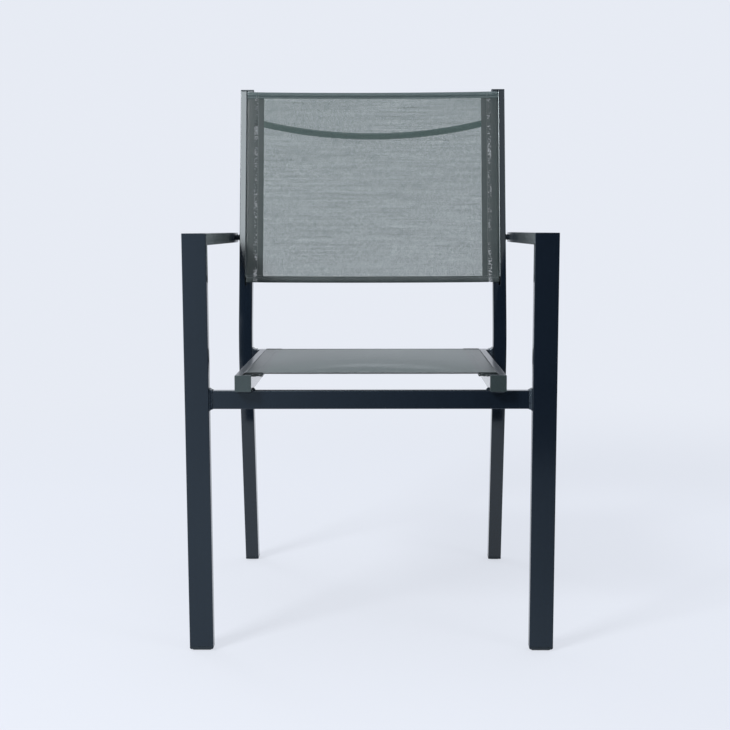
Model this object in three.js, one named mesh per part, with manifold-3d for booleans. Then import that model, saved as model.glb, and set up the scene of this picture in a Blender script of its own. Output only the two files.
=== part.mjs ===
import * as THREE from 'three';
import { mergeVertices } from 'three/addons/utils/BufferGeometryUtils.js';
import Module from 'manifold-3d';

// A stacking garden armchair: a welded frame of powder-coated tube with a woven sling for the
// back and one for the seat. Each sling is held by a rod in a slotted tube at both sides.
// Millimetres, +Z up. The chair faces -Y and its centre plane is X = 0.

const wasm = await Module();
wasm.setup();

const { degToRad } = THREE.MathUtils;

// Whole chair
const overallWidth = 566;
const armHeight = 650;
const backHeight = 880;

// Fits
const seam = 0.3;
const plugClearance = 0.3;
const cutOverrun = 4;

// Flat tube of the front legs and the armrests
const flatTubeWidth = 37;
const flatTubeDepth = 18;
const flatTubeWall = 1.5;
const tubeCornerRadius = 1;
const armSlope = degToRad(3.3);
const armPastPostFront = 15;

// Back posts: each is rear leg and back upright in one bent tube
const postWidth = 24;
const postDepth = 25;
const postWall = 1.6;
const postBendSetback = 441;
const postBendHeight = 417;
const postBendRadius = 250;
const rearLegSplay = degToRad(10.8);
const backRecline = degToRad(14.2);
const armToPostGap = 4;

// Seat rails
const railWidth = 25;
const railHeight = 25;
const railWall = 1.6;
const railToPostGap = 13;
const railOverhang = 12;
const seatFrontHeight = 437;
const seatSlope = degToRad(3.1);

// Crossbars
const frontBarHeight = 28;
const frontBarDepth = 16;
const frontBarSetback = 2;
const rearBarHeight = 25;
const rearBarDepth = 25;
const crossbarWall = 1.5;

// Bowed round bar behind the back sling
const bowDiameter = 12;
const bowSag = 52;
const bowTilt = degToRad(17);
const bowBelowPostTop = 54;

// Slings, their rods and the slots that hold them
const slingLayer = 0.8;
const backSlingLength = 352;
const backSlingBelowPostTop = 2.6;
const backBandWidth = 33;
const backHemWidth = 11;
const seatSlingFrontInset = 16;
const seatSlingRearInset = 4;
const seatBandWidth = 29;
const seatHemWidth = 11;
const slotWidth = 3;
const slotBelowSling = 6;
const kederDiameter = 5;
const kederEndInset = 10;

// Caps, feet and glides
const capThickness = 2.5;
const plugLength = 11;
const footThickness = 4;
const frontFootCornerRadius = 2.7;
const rearFootCornerRadius = 1.2;
const frontGlideHeight = 2.5;
const rearGlideHeight = 1.6;
const glideInset = 4;
const glideCornerRadius = 2;

// Weld beads
const frontBarFlareLength = 5.6;
const frontBarFlareReach = 3;
const rearBarFlareLength = 8;
const rearBarFlareReach = 3.5;
const flareSideReach = 1.4;
const flareLip = 0.8;
const armWeldEndRadius = 6.4;
const armWeldWaistRadius = 4;
const railBeadSize = 4;
const railBeadInset = 2;
const bowWeldLength = 4.5;
const bowWeldReach = 2.6;

// Counts
const cornerSegments = 2;
const bendSteps = 8;
const bowSteps = 28;
const roundSides = 12;
const flareSteps = 4;

// Places worked out from the sizes above
const legCentre = (overallWidth - flatTubeWidth) / 2;
const legInner = overallWidth / 2 - flatTubeWidth;
const postOuter = legInner - armToPostGap;
const postCentre = postOuter - postWidth / 2;
const postInner = postOuter - postWidth;
const railCentre = postInner - railToPostGap - railWidth / 2;
const railInner = railCentre - railWidth / 2;
const frontFootTop = frontGlideHeight + footThickness;
const rearFootTop = rearGlideHeight + footThickness;
const sides = [['left', -1], ['right', 1]];

// The upper posts' own frame has its origin at the bend, with z up along the post
const postCapTop = (backHeight - postBendHeight - postDepth / 2 * Math.sin(backRecline))
  / Math.cos(backRecline);
const postReach = postCapTop - capThickness - seam;
const backSlingTop = postReach - backSlingBelowPostTop;
const backSlingBottom = backSlingTop - backSlingLength;
const postFront = -postDepth / 2;

// The arc pulls the centre line back from the corner of its two straights
const postTurn = rearLegSplay + backRecline;
const bendInset = postBendRadius * (1 / Math.cos(postTurn / 2) - 1);

// The seat's own frame has its origin at the rails' top front edge, with y along the rails
const frontBarTop = -railHeight - seam;
const frontBarMiddle = frontBarTop - frontBarHeight / 2;
const frontBarFront = (frontBarSetback + railOverhang - frontBarMiddle * Math.sin(seatSlope))
  / Math.cos(seatSlope);
const rearBarMiddle = (postBendSetback + bendInset + railOverhang + rearBarHeight / 2 * Math.sin(seatSlope))
  / Math.cos(seatSlope);
const railLength = rearBarMiddle - rearBarDepth / 2 - seam;
const seatSlingLength = railLength - seatSlingFrontInset - seatSlingRearInset;

// Where the armrest's middle line crosses the front face of the post
const armCrossing = (postBendSetback - postDepth / 2 / Math.cos(backRecline)
  + (armHeight - postBendHeight - flatTubeDepth / 2 / Math.cos(armSlope)) * Math.tan(backRecline))
  / (1 + Math.tan(armSlope) * Math.tan(backRecline));
const armLength = (armCrossing + armPastPostFront) / Math.cos(armSlope) - capThickness - seam;

// Materials, each a fresh copy for its mesh
const finish = (color, roughness, metalness) => () => (
  new THREE.MeshStandardMaterial({ color, roughness, metalness })
);
const coatMaterial = finish(0x343f49, 0.42, 0.1);
const plasticMaterial = finish(0x2c343a, 0.5, 0);
const glideMaterial = finish(0x6d7274, 0.55, 0);
const slingMaterial = finish(0x74817f, 0.75, 0);
const rodMaterial = finish(0x23282b, 0.6, 0);

function piece(name, geometry, material) {
  const mesh = new THREE.Mesh(geometry, material);
  mesh.name = name;
  return mesh;
}

// Closed geometry in, manifold solid out, and back again
function solid(geometry) {
  const bare = geometry.clone();
  bare.deleteAttribute('normal');
  bare.deleteAttribute('uv');
  const merged = mergeVertices(bare);
  return new wasm.Manifold(new wasm.Mesh({
    numProp: 3,
    vertProperties: Float32Array.from(merged.attributes.position.array),
    triVerts: Uint32Array.from(merged.index.array),
  }));
}

function toGeometry(manifold) {
  const { vertProperties, triVerts } = manifold.getMesh();
  const geometry = new THREE.BufferGeometry();
  geometry.setAttribute('position', new THREE.BufferAttribute(vertProperties, 3));
  geometry.setIndex(new THREE.BufferAttribute(triVerts, 1));
  geometry.computeVertexNormals();
  return geometry;
}

// A rectangle with round corners, centred on its own origin
function roundedRectangle(width, height, radius) {
  const x = width / 2;
  const y = height / 2;
  const quarter = Math.PI / 2;
  const shape = new THREE.Shape();
  shape.moveTo(x, radius - y);
  shape.absarc(x - radius, y - radius, radius, 0, quarter);
  shape.absarc(radius - x, y - radius, radius, quarter, 2 * quarter);
  shape.absarc(radius - x, radius - y, radius, 2 * quarter, 3 * quarter);
  shape.absarc(x - radius, radius - y, radius, 3 * quarter, 4 * quarter);
  return shape;
}

function tubeSection(width, height, wall) {
  const section = roundedRectangle(width, height, tubeCornerRadius);
  section.holes.push(roundedRectangle(width - 2 * wall, height - 2 * wall, tubeCornerRadius / 2));
  return section;
}

// A prism of a section, running up from the origin
function prism(section, length) {
  return new THREE.ExtrudeGeometry(section, {
    depth: length,
    bevelEnabled: false,
    curveSegments: cornerSegments,
  });
}

// A round bar of a given radius, running up from the origin
function rod(radius, length) {
  return new THREE.CylinderGeometry(radius, radius, length, roundSides)
    .rotateX(Math.PI / 2)
    .translate(0, 0, length / 2);
}

// A block between two corners
function block(low, high) {
  const size = new THREE.Vector3().subVectors(high, low);
  return new THREE.BoxGeometry(size.x, size.y, size.z)
    .translate((low.x + high.x) / 2, (low.y + high.y) / 2, (low.z + high.z) / 2);
}

// A moulded end cap: a plate from z = 0 up and a plug below it that fits inside the tube
function endCap(width, height, wall) {
  const fit = 2 * (wall + plugClearance);
  const plate = prism(roundedRectangle(width, height, tubeCornerRadius), capThickness);
  const plug = prism(
    roundedRectangle(width - fit, height - fit, tubeCornerRadius / 2),
    plugLength + capThickness / 2,
  ).translate(0, 0, -plugLength);
  return toGeometry(solid(plate).add(solid(plug)));
}

// A foot with round bottom corners and a plug above it, sheared to follow a leaning leg
function footCap({ width, depth, wall, lean, top, cornerRadius }) {
  const levelDepth = depth / Math.cos(lean);
  const outline = new THREE.Shape();
  const x = width / 2;
  outline.moveTo(x, top - seam);
  outline.lineTo(-x, top - seam);
  const turn = x - cornerRadius;
  const turnHeight = top - footThickness + cornerRadius;
  outline.absarc(-turn, turnHeight, cornerRadius, Math.PI, 1.5 * Math.PI);
  outline.absarc(turn, turnHeight, cornerRadius, 1.5 * Math.PI, 2 * Math.PI);
  const base = prism(outline, levelDepth).rotateX(Math.PI / 2).translate(0, levelDepth / 2, 0);
  const fit = 2 * (wall + plugClearance);
  const plug = prism(
    roundedRectangle(width - fit, (depth - fit) / Math.cos(lean), tubeCornerRadius / 2),
    plugLength + footThickness / 2,
  ).translate(0, 0, top - footThickness / 2);
  const shear = new THREE.Matrix4().makeShear(0, 0, 0, 0, 0, -Math.tan(lean));
  return toGeometry(solid(base).add(solid(plug))).applyMatrix4(shear);
}

function glidePad({ width, depth, top }) {
  return prism(
    roundedRectangle(width - 2 * glideInset, depth - 2 * glideInset, glideCornerRadius),
    top - footThickness - seam,
  );
}

// A closed skin through rings of points that lie one above the other
function loft(rings) {
  const count = rings[0].length;
  const positions = rings.flat().flatMap((point) => [point.x, point.y, point.z]);
  const index = [];
  for (let ring = 0; ring < rings.length - 1; ring += 1) {
    for (let i = 0; i < count; i += 1) {
      const a = ring * count + i;
      const b = ring * count + (i + 1) % count;
      index.push(a, b, b + count, a, b + count, a + count);
    }
  }
  const last = (rings.length - 1) * count;
  for (let i = 1; i < count - 1; i += 1) {
    index.push(0, i + 1, i, last, last + i, last + i + 1);
  }
  const geometry = new THREE.BufferGeometry();
  geometry.setAttribute('position', new THREE.Float32BufferAttribute(positions, 3));
  geometry.setIndex(index);
  return geometry;
}

// A weld collar round a bar: widest at z = 0, where it meets a face, and hollow-sided
function weldCollar(width, height, reachWidth, reachHeight, length) {
  const rings = [];
  for (let step = 0; step <= flareSteps; step += 1) {
    const along = step / flareSteps;
    const flare = 1 - Math.sqrt(1 - (1 - along) ** 2);
    const ring = roundedRectangle(
      width + 2 * (flareLip + reachWidth * flare),
      height + 2 * (flareLip + reachHeight * flare),
      tubeCornerRadius + flareLip,
    ).getPoints(cornerSegments).slice(1);
    rings.push(ring.map((point) => new THREE.Vector3(point.x, point.y, along * length)));
  }
  const bore = prism(
    roundedRectangle(width + 2 * seam, height + 2 * seam, tubeCornerRadius),
    length + 2 * cutOverrun,
  ).translate(0, 0, -cutOverrun);
  return toGeometry(solid(loft(rings)).subtract(solid(bore)));
}

// A weld bead of triangular section in the corner at its origin, running up
function weldBead(sideX, sideY, length) {
  const section = new THREE.Shape([
    new THREE.Vector2(0, 0),
    new THREE.Vector2(sideX, 0),
    new THREE.Vector2(0, sideY),
  ]);
  return prism(section, length);
}

// Front legs and armrests, mitred where they meet
const mitreAngle = Math.PI / 4 + armSlope / 2;
const mitreReach = 3 * flatTubeWidth;

// All that lies above the mitre plane, or below it, with half a seam left
function mitreCutter(direction) {
  return solid(new THREE.BoxGeometry(mitreReach, mitreReach, mitreReach)
    .translate(0, 0, direction * (mitreReach - seam) / 2)
    .rotateX(-mitreAngle));
}

function frontLeg() {
  const section = tubeSection(flatTubeWidth, flatTubeDepth, flatTubeWall);
  const tube = prism(section, armHeight - frontFootTop + cutOverrun)
    .translate(0, flatTubeDepth / 2, frontFootTop - armHeight);
  return toGeometry(solid(tube).subtract(mitreCutter(1)));
}

function armrest() {
  const tube = prism(tubeSection(flatTubeWidth, flatTubeDepth, flatTubeWall), armLength + cutOverrun)
    .translate(0, 0, -cutOverrun)
    .rotateX(-Math.PI / 2)
    .translate(0, 0, -flatTubeDepth / 2)
    .rotateX(-armSlope);
  return toGeometry(solid(tube).subtract(mitreCutter(-1)));
}

// The post's centre line: straight, round the bend, straight again, from its foot to its top.
// Its corner is the origin, and the bend's steps are set out evenly on the arc.
class PostLine extends THREE.Curve {
  getUtoTmapping(u) {
    return u;
  }

  getPoint(t, target = new THREE.Vector3()) {
    const stage = t * (bendSteps + 2);
    const tangent = postBendRadius * Math.tan(postTurn / 2);
    const foot = postBendHeight / Math.cos(rearLegSplay) + cutOverrun;
    if (stage < 1) {
      const down = foot + (tangent - foot) * stage;
      return target.set(0, down * Math.sin(rearLegSplay), -down * Math.cos(rearLegSplay));
    }
    if (stage > bendSteps + 1) {
      const up = tangent + (postReach - tangent) * (stage - bendSteps - 1);
      return target.set(0, up * Math.sin(backRecline), up * Math.cos(backRecline));
    }
    const heading = (stage - 1) / bendSteps * postTurn - rearLegSplay;
    const centre = postBendRadius / Math.cos(postTurn / 2);
    const middle = (backRecline - rearLegSplay) / 2;
    return target.set(
      0,
      centre * Math.cos(middle) - postBendRadius * Math.cos(heading),
      postBendRadius * Math.sin(heading) - centre * Math.sin(middle),
    );
  }
}

function backPost() {
  const tube = new THREE.ExtrudeGeometry(tubeSection(postWidth, postDepth, postWall), {
    steps: bendSteps + 2,
    extrudePath: new PostLine(),
    curveSegments: cornerSegments,
  });
  const floorCut = block(
    new THREE.Vector3(-postWidth, -postBendSetback, -postBendHeight - postDepth),
    new THREE.Vector3(postWidth, postBendSetback, rearFootTop - postBendHeight),
  );
  const slot = block(
    new THREE.Vector3(-slotWidth / 2, postFront - cutOverrun, backSlingBottom - slotBelowSling),
    new THREE.Vector3(slotWidth / 2, postFront + postWall + cutOverrun, postReach + cutOverrun),
  ).rotateX(-backRecline);
  return toGeometry(solid(tube).subtract(solid(floorCut)).subtract(solid(slot)));
}

// A seat rail runs up from the origin here, with its slot towards +y
function seatRail() {
  const tube = prism(tubeSection(railWidth, railHeight, railWall), railLength);
  const slot = block(
    new THREE.Vector3(-slotWidth / 2, railHeight / 2 - railWall - cutOverrun, -cutOverrun),
    new THREE.Vector3(slotWidth / 2, railHeight / 2 + cutOverrun, railLength + cutOverrun),
  );
  return toGeometry(solid(tube).subtract(solid(slot)));
}

// The bowed bar's centre line in the back's frame, past both ends by the cut's overrun
class BowLine extends THREE.Curve {
  getPoint(t, target = new THREE.Vector3()) {
    const radius = (postInner ** 2 + bowSag ** 2) / (2 * bowSag);
    const halfSweep = Math.asin(postInner / radius) + cutOverrun / radius;
    const angle = (2 * t - 1) * halfSweep;
    const back = bowSag - radius * (1 - Math.cos(angle));
    return target.set(radius * Math.sin(angle), back * Math.cos(bowTilt), -back * Math.sin(bowTilt));
  }
}

function bowSweep(radius) {
  const section = new THREE.Shape();
  section.absarc(0, 0, radius, 0, 2 * Math.PI);
  return solid(new THREE.ExtrudeGeometry(section, {
    steps: bowSteps,
    extrudePath: new BowLine(),
    curveSegments: roundSides,
  }));
}

function bowedBar() {
  const reach = bowSag + bowDiameter;
  const between = block(
    new THREE.Vector3(seam - postInner, -reach, -reach),
    new THREE.Vector3(postInner - seam, reach, reach),
  );
  return toGeometry(bowSweep(bowDiameter / 2).intersect(solid(between)));
}

// The weld where the bowed bar meets a post, widest at the post's inner face
function bowWeld(sign) {
  const radius = bowDiameter / 2;
  const collar = new THREE.CylinderGeometry(
    radius + bowWeldReach,
    radius + flareLip + seam,
    bowWeldLength,
    2 * roundSides,
  )
    .rotateZ(-sign * Math.PI / 2)
    .translate(sign * (postInner - seam - bowWeldLength / 2), 0, 0);
  return toGeometry(solid(collar).subtract(bowSweep(radius + seam)));
}

// The welded spacer between armrest and post, waisted, running along y from the origin
function armSpacer() {
  const length = armToPostGap - 2 * seam;
  const profile = [
    new THREE.Vector2(0, 0),
    new THREE.Vector2(armWeldEndRadius, 0),
    new THREE.Vector2(armWeldWaistRadius, length / 3),
    new THREE.Vector2(armWeldWaistRadius, length * 2 / 3),
    new THREE.Vector2(armWeldEndRadius, length),
    new THREE.Vector2(0, length),
  ];
  return new THREE.LatheGeometry(profile, 2 * roundSides);
}

// A flat sling of one layer, with a second layer behind its side bands and its hems, and a
// tab at each side that goes into the slot. x runs across and z along the sling, and y = 0
// is the face of the tubes that it lies on.
function sling(halfWidth, wall, length, bandWidth, hemWidth) {
  const back = -seam;
  const middle = back - slingLayer;
  const front = middle - slingLayer;
  const tabEnd = wall;
  const tabOuter = halfWidth + slingLayer;
  const tabInner = halfWidth - slingLayer;
  const bandEdge = halfWidth - bandWidth;
  const half = [
    [tabOuter, front],
    [tabOuter, tabEnd],
    [tabInner, tabEnd],
    [tabInner, back],
    [bandEdge, back],
    [bandEdge, middle],
  ];
  const outline = new THREE.Shape([
    ...half.map(([x, y]) => new THREE.Vector2(x, y)),
    ...half.toReversed().map(([x, y]) => new THREE.Vector2(-x, y)),
  ]);
  let cloth = solid(prism(outline, length));
  for (const low of [0, length - hemWidth]) {
    const hem = block(
      new THREE.Vector3(-bandEdge - slingLayer, middle - slingLayer / 2, low),
      new THREE.Vector3(bandEdge + slingLayer, back, low + hemWidth),
    );
    cloth = cloth.add(solid(hem));
  }
  return toGeometry(cloth);
}

// Build the chair from the legs' front face back
const chair = new THREE.Group();

const seat = new THREE.Group();
seat.position.set(0, -railOverhang, seatFrontHeight);
seat.rotation.x = -seatSlope;
chair.add(seat);

const back = new THREE.Group();
back.position.set(0, postBendSetback, postBendHeight);
back.rotation.x = -backRecline;
chair.add(back);

for (const [side, sign] of sides) {
  const leg = piece(`front_leg_${side}`, frontLeg(), coatMaterial());
  leg.position.set(sign * legCentre, 0, armHeight);
  chair.add(leg);

  const arm = piece(`armrest_${side}`, armrest(), coatMaterial());
  arm.position.set(sign * legCentre, 0, armHeight);
  chair.add(arm);

  const armCap = piece(
    `arm_end_cap_${side}`,
    endCap(flatTubeWidth, flatTubeDepth, flatTubeWall),
    plasticMaterial(),
  );
  armCap.rotation.x = -Math.PI / 2;
  armCap.position.set(0, armLength + seam, -flatTubeDepth / 2);
  const armEnd = new THREE.Group();
  armEnd.position.set(sign * legCentre, 0, armHeight);
  armEnd.rotation.x = -armSlope;
  armEnd.add(armCap);
  chair.add(armEnd);

  const armWeld = piece(`arm_weld_${side}`, armSpacer(), coatMaterial());
  const weldSetback = armCrossing + armPastPostFront / 2;
  armWeld.rotation.z = -Math.PI / 2;
  armWeld.position.set(
    sign > 0 ? postOuter + seam : seam - legInner,
    weldSetback,
    armHeight - weldSetback * Math.tan(armSlope) - flatTubeDepth / 2,
  );
  chair.add(armWeld);

  const post = piece(`back_post_${side}`, backPost(), coatMaterial());
  post.position.set(sign * postCentre, postBendSetback, postBendHeight);
  chair.add(post);

  const postCap = piece(
    `post_top_cap_${side}`,
    endCap(postWidth, postDepth, postWall),
    plasticMaterial(),
  );
  postCap.position.set(sign * postCentre, 0, postReach + seam);
  back.add(postCap);

  const kederLength = backSlingLength - 2 * kederEndInset;
  const backKeder = piece(`back_keder_${side}`, rod(kederDiameter / 2, kederLength), rodMaterial());
  backKeder.position.set(
    sign * postCentre,
    postFront + postWall + seam + kederDiameter / 2,
    backSlingBottom + kederEndInset,
  );
  back.add(backKeder);

  const rail = piece(`seat_rail_${side}`, seatRail(), coatMaterial());
  rail.rotation.set(-Math.PI / 2, 0, Math.PI, 'XYZ');
  rail.position.set(sign * railCentre, 0, -railHeight / 2);
  seat.add(rail);

  const railCap = piece(
    `rail_front_cap_${side}`,
    endCap(railWidth, railHeight, railWall),
    plasticMaterial(),
  );
  railCap.rotation.x = Math.PI / 2;
  railCap.position.set(sign * railCentre, -seam, -railHeight / 2);
  seat.add(railCap);

  const seatKeder = piece(
    `seat_keder_${side}`,
    rod(kederDiameter / 2, seatSlingLength - kederEndInset),
    rodMaterial(),
  );
  seatKeder.rotation.x = -Math.PI / 2;
  seatKeder.position.set(
    sign * railCentre,
    seatSlingFrontInset + kederEndInset / 2,
    -railWall - seam - kederDiameter / 2,
  );
  seat.add(seatKeder);

  const frontBead = piece(
    `rail_front_bead_${side}`,
    weldBead(railBeadSize, -railBeadSize, railWidth - 2 * railBeadInset),
    coatMaterial(),
  );
  frontBead.rotation.y = Math.PI / 2;
  frontBead.position.set(
    sign * railCentre - railWidth / 2 + railBeadInset,
    frontBarFront - seam,
    frontBarTop,
  );
  seat.add(frontBead);

  const innerBead = piece(
    `rail_inner_bead_${side}`,
    weldBead(-sign * railBeadSize, -railBeadSize, frontBarDepth - 2 * railBeadInset),
    coatMaterial(),
  );
  innerBead.rotation.x = -Math.PI / 2;
  innerBead.position.set(sign * (railInner - seam), frontBarFront + railBeadInset, frontBarTop + seam);
  seat.add(innerBead);

  const frontFlare = piece(
    `front_bar_weld_${side}`,
    weldCollar(frontBarHeight, frontBarDepth, frontBarFlareReach, flareSideReach, frontBarFlareLength),
    coatMaterial(),
  );
  frontFlare.rotation.y = -sign * Math.PI / 2;
  frontFlare.position.set(sign * (legInner - seam), frontBarFront + frontBarDepth / 2, frontBarMiddle);
  seat.add(frontFlare);

  const rearFlare = piece(
    `rear_bar_weld_${side}`,
    weldCollar(rearBarHeight, rearBarDepth, rearBarFlareReach, flareSideReach, rearBarFlareLength),
    coatMaterial(),
  );
  rearFlare.rotation.y = -sign * Math.PI / 2;
  rearFlare.position.set(sign * (postInner - seam), rearBarMiddle, -rearBarHeight / 2);
  seat.add(rearFlare);

  const bowEnd = piece(`bow_bar_weld_${side}`, bowWeld(sign), coatMaterial());
  bowEnd.position.set(0, 0, postReach - bowBelowPostTop);
  back.add(bowEnd);

  const feet = [
    {
      end: 'front',
      across: legCentre,
      along: flatTubeDepth / 2,
      lean: 0,
      width: flatTubeWidth,
      depth: flatTubeDepth,
      wall: flatTubeWall,
      top: frontFootTop,
      cornerRadius: frontFootCornerRadius,
    },
    {
      end: 'rear',
      across: postCentre,
      along: postBendSetback + postBendHeight * Math.tan(rearLegSplay),
      lean: rearLegSplay,
      width: postWidth,
      depth: postDepth,
      wall: postWall,
      top: rearFootTop,
      cornerRadius: rearFootCornerRadius,
    },
  ];
  for (const foot of feet) {
    const cap = piece(`foot_cap_${foot.end}_${side}`, footCap(foot), plasticMaterial());
    cap.position.set(sign * foot.across, foot.along, 0);
    chair.add(cap);
    const glide = piece(`foot_glide_${foot.end}_${side}`, glidePad(foot), glideMaterial());
    glide.position.set(sign * foot.across, foot.along, 0);
    chair.add(glide);
  }
}

const frontBar = piece(
  'front_crossbar',
  prism(tubeSection(frontBarHeight, frontBarDepth, crossbarWall), 2 * (legInner - seam)),
  coatMaterial(),
);
frontBar.rotation.y = Math.PI / 2;
frontBar.position.set(seam - legInner, frontBarFront + frontBarDepth / 2, frontBarMiddle);
seat.add(frontBar);

const rearBar = piece(
  'rear_crossbar',
  prism(tubeSection(rearBarHeight, rearBarDepth, crossbarWall), 2 * (postInner - seam)),
  coatMaterial(),
);
rearBar.rotation.y = Math.PI / 2;
rearBar.position.set(seam - postInner, rearBarMiddle, -rearBarHeight / 2);
seat.add(rearBar);

const bow = piece('bowed_back_bar', bowedBar(), coatMaterial());
bow.position.set(0, 0, postReach - bowBelowPostTop);
back.add(bow);

const backSling = piece(
  'back_sling',
  sling(postCentre, postWall, backSlingLength, backBandWidth, backHemWidth),
  slingMaterial(),
);
backSling.position.set(0, postFront, backSlingBottom);
back.add(backSling);

const seatSling = piece(
  'seat_sling',
  sling(railCentre, railWall, seatSlingLength, seatBandWidth, seatHemWidth),
  slingMaterial(),
);
seatSling.rotation.x = -Math.PI / 2;
seatSling.position.set(0, seatSlingFrontInset, 0);
seat.add(seatSling);

// The origin is the middle of the chair's outline on the floor
const outline = new THREE.Box3().setFromObject(chair, true);
chair.position.set(0, -(outline.min.y + outline.max.y) / 2, -outline.min.z);

const part = new THREE.Group();
part.add(chair);

export default part;
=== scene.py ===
import math

import bmesh
import bpy
from mathutils import Matrix, Vector, noise


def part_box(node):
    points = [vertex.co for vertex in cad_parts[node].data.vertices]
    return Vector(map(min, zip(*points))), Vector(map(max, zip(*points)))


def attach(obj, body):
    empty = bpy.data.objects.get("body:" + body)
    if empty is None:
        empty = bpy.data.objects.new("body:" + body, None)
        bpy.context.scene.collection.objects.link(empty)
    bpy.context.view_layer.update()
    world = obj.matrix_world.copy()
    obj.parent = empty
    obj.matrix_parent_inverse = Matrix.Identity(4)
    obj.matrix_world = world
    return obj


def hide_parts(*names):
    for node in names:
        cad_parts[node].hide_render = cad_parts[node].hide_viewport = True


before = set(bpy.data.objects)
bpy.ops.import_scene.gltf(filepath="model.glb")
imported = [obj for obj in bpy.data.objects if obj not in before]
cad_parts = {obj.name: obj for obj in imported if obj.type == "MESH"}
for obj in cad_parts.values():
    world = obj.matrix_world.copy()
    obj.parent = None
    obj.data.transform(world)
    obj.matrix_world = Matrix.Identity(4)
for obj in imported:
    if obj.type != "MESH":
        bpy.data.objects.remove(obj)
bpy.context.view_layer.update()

bl_info = {
    "name": "Sling Garden Armchair",
    "version": (1, 0, 0),
    "blender": (4, 5, 0),
    "location": "View3D > Sidebar > Armchair",
    "description": "Dresses a welded tube armchair with coated metal, caps, welds and woven slings",
    "category": "Add Mesh",
}

BODY = "root"
SIDES = (("left", -1), ("right", 1))
MM = 0.001

# Where the slings' own frames stand. The legs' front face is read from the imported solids, and the
# rest are sizes of the part.
LEG_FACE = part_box("front_leg_left")[0].y
BACK_ORIGIN = Vector((0, LEG_FACE + 441 * MM, 417 * MM))
BACK_RECLINE = math.radians(14.2)
SEAT_ORIGIN = Vector((0, LEG_FACE - 12 * MM, 437 * MM))
SEAT_SLOPE = math.radians(3.1)
POST_FRONT = -12.5 * MM
BACK_SEAM = 209 * MM
SEAT_SEAM = 172 * MM


def leaning_frame(origin, angle):
    """The frame of a group that is turned back by an angle about the X axis."""
    return Matrix.Translation(origin) @ Matrix.Rotation(-angle, 4, "X")


BACK_FRAME = leaning_frame(BACK_ORIGIN, BACK_RECLINE)
SEAT_FRAME = leaning_frame(SEAT_ORIGIN, SEAT_SLOPE)


def box_in(node, own_frame):
    """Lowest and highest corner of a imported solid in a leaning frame."""
    inverse = own_frame.inverted()
    points = [inverse @ corner.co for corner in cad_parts[node].data.vertices]
    return (
        Vector([min(p[i] for p in points) for i in range(3)]),
        Vector([max(p[i] for p in points) for i in range(3)]),
    )


# Settings


def colour_setting(name, description, default):
    """A colour that a user may change."""
    return bpy.props.FloatVectorProperty(
        name=name, description=description, default=default, size=3, subtype="COLOR", min=0, max=1,
    )


def length_setting(name, description, default, low, high):
    """A length that a user may change between two limits."""
    return bpy.props.FloatProperty(
        name=name, description=description, default=default, min=low, max=high, unit="LENGTH",
    )


class CHAIR_PG_frame(bpy.types.PropertyGroup):
    """The coated tubes, their caps and their welds."""

    coat_colour: colour_setting("Coat Colour", "Colour of the powder coat", (0.0052, 0.0092, 0.0160))
    coat_roughness: bpy.props.FloatProperty(
        name="Coat Roughness", description="How dull the powder coat is",
        default=0.15, min=0, max=1, subtype="FACTOR",
    )
    grain_size: length_setting("Grain Size", "Size of the coat's fine bumps", 0.0011, 0.0002, 0.01)
    cap_colour: colour_setting("Cap Colour", "Colour of the moulded caps", (0.020, 0.030, 0.031))
    foot_colour: colour_setting(
        "Foot Colour", "Colour of the caps on the feet and the posts", (0.006, 0.010, 0.016),
    )
    glide_colour: colour_setting("Glide Colour", "Colour of the pads under the feet", (0.20, 0.21, 0.22))
    rod_colour: colour_setting(
        "Rod Colour", "Colour of the rods that hold the slings", (0.02, 0.023, 0.025),
    )
    edge_round: length_setting("Edge Round", "Radius on the tubes' cut edges", 0.0004, 0, 0.002)
    cap_round: length_setting("Cap Round", "Radius on the edges of caps, feet and pads", 0.0005, 0, 0.002)


class CHAIR_PG_sling(bpy.types.PropertyGroup):
    """The woven slings and their seams."""

    yarn_colour: colour_setting("Yarn Colour", "Colour of the woven yarn", (0.035, 0.074, 0.069))
    thread_colour: colour_setting("Thread Colour", "Colour of the sewing thread", (0.13, 0.15, 0.155))
    yarn_pitch: length_setting("Yarn Pitch", "Distance from yarn to yarn", 0.0012, 0.0004, 0.005)
    cloth_thickness: length_setting("Cloth Thickness", "Thickness of one layer", 0.0007, 0.0002, 0.002)
    back_sag: length_setting("Back Sag", "How far the back sling bows between the posts", 0.006, 0, 0.03)
    seat_rise: length_setting(
        "Seat Rise", "How far the middle of the seat sling stands above its hems", 0.004, 0, 0.03,
    )
    stitch_length: length_setting("Stitch Length", "Length of one stitch", 0.0026, 0.001, 0.01)
    stitch_gap: length_setting("Stitch Gap", "Space between two stitches", 0.0008, 0, 0.01)
    thread_width: length_setting("Thread Width", "Thickness of the sewing thread", 0.0008, 0.0002, 0.003)


class CHAIR_PG_studio(bpy.types.PropertyGroup):
    """The floor, the lamps and the camera."""

    backdrop_colour: colour_setting(
        "Backdrop Colour", "Colour of the floor and the backdrop", (0.800, 0.833, 0.905),
    )
    lens: bpy.props.FloatProperty(
        name="Lens", description="Focal length on a 36 mm sensor",
        default=72.59, min=20, max=200, unit="CAMERA",
    )
    camera_distance: length_setting(
        "Camera Distance", "From the legs' front face to the camera", 2.2021, 0.5, 10,
    )
    camera_height: length_setting("Camera Height", "Height of the camera above the floor", 0.7837, 0, 5)


GROUPS = {
    "chair_frame": CHAIR_PG_frame,
    "chair_sling": CHAIR_PG_sling,
    "chair_studio": CHAIR_PG_studio,
}


# Node trees


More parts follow.
